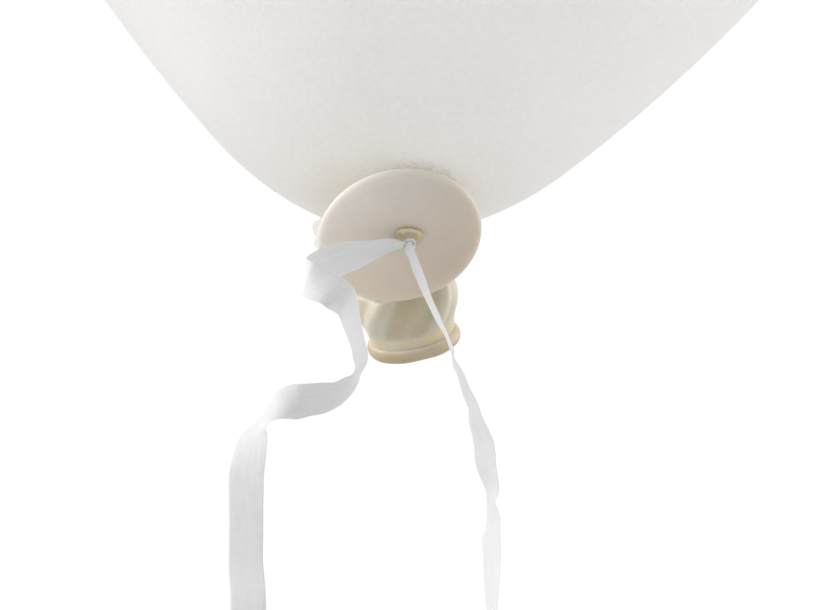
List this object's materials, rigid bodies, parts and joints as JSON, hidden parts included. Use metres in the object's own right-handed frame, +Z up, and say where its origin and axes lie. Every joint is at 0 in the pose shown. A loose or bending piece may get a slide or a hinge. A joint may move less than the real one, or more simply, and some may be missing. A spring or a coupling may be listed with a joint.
{
  "type": "latex balloon",
  "caption": "Inflated pear-shaped latex balloon with a knotted neck, a round closure disc over the knot and a ribbon tied on the stem.",
  "frame": {"origin": "on the latex stem, in the middle of the closure disc's thickness, where the ribbon is anchored", "axes": "+Z up the bulb from the neck to the crown, +Y from the disc's side towards the neck's tail"},
  "size_m": [0.2739, 0.2738, 0.5369],
  "materials": {
    "latex_skin": "thin translucent off-white latex with a soft sheen",
    "latex_neck": "thick unstretched latex, olive cream, satin",
    "disc_plastic": "matte greige moulded plastic",
    "film_clear": "crinkled translucent film",
    "ribbon_cloth": "fine woven white ribbon"
  },
  "bodies": {
    "balloon": {"envelope": "latex_skin", "throat": "latex_neck", "knot": "latex_neck", "stem": "latex_neck", "seal_film": "film_clear", "ribbon_wrap": "ribbon_cloth", "ribbon_knot": "ribbon_cloth", "curly_tail": "ribbon_cloth", "long_tail": "ribbon_cloth", "tail_coil": "ribbon_cloth", "coil_tie": "ribbon_cloth"},
    "disc": {"closure_disc": "disc_plastic"},
    "neck": {"neck_sleeve": "latex_neck", "rolled_lip": "latex_neck"}
  },
  "joints": [
    {"name": "disc_spin", "type": "hinge", "parent": "balloon", "child": "disc", "pos_m": [0, 0, 0], "axis": [0.1403, -0.4318, -0.891], "continuous": true},
    {"name": "neck_bend", "type": "hinge", "parent": "balloon", "child": "neck", "pos_m": [-0.0015, 0.0072, 0.0015], "axis": [1, 0, 0], "range_deg": [-5, 12], "stiffness_Nm_per_rad": 0.05}
  ]
}
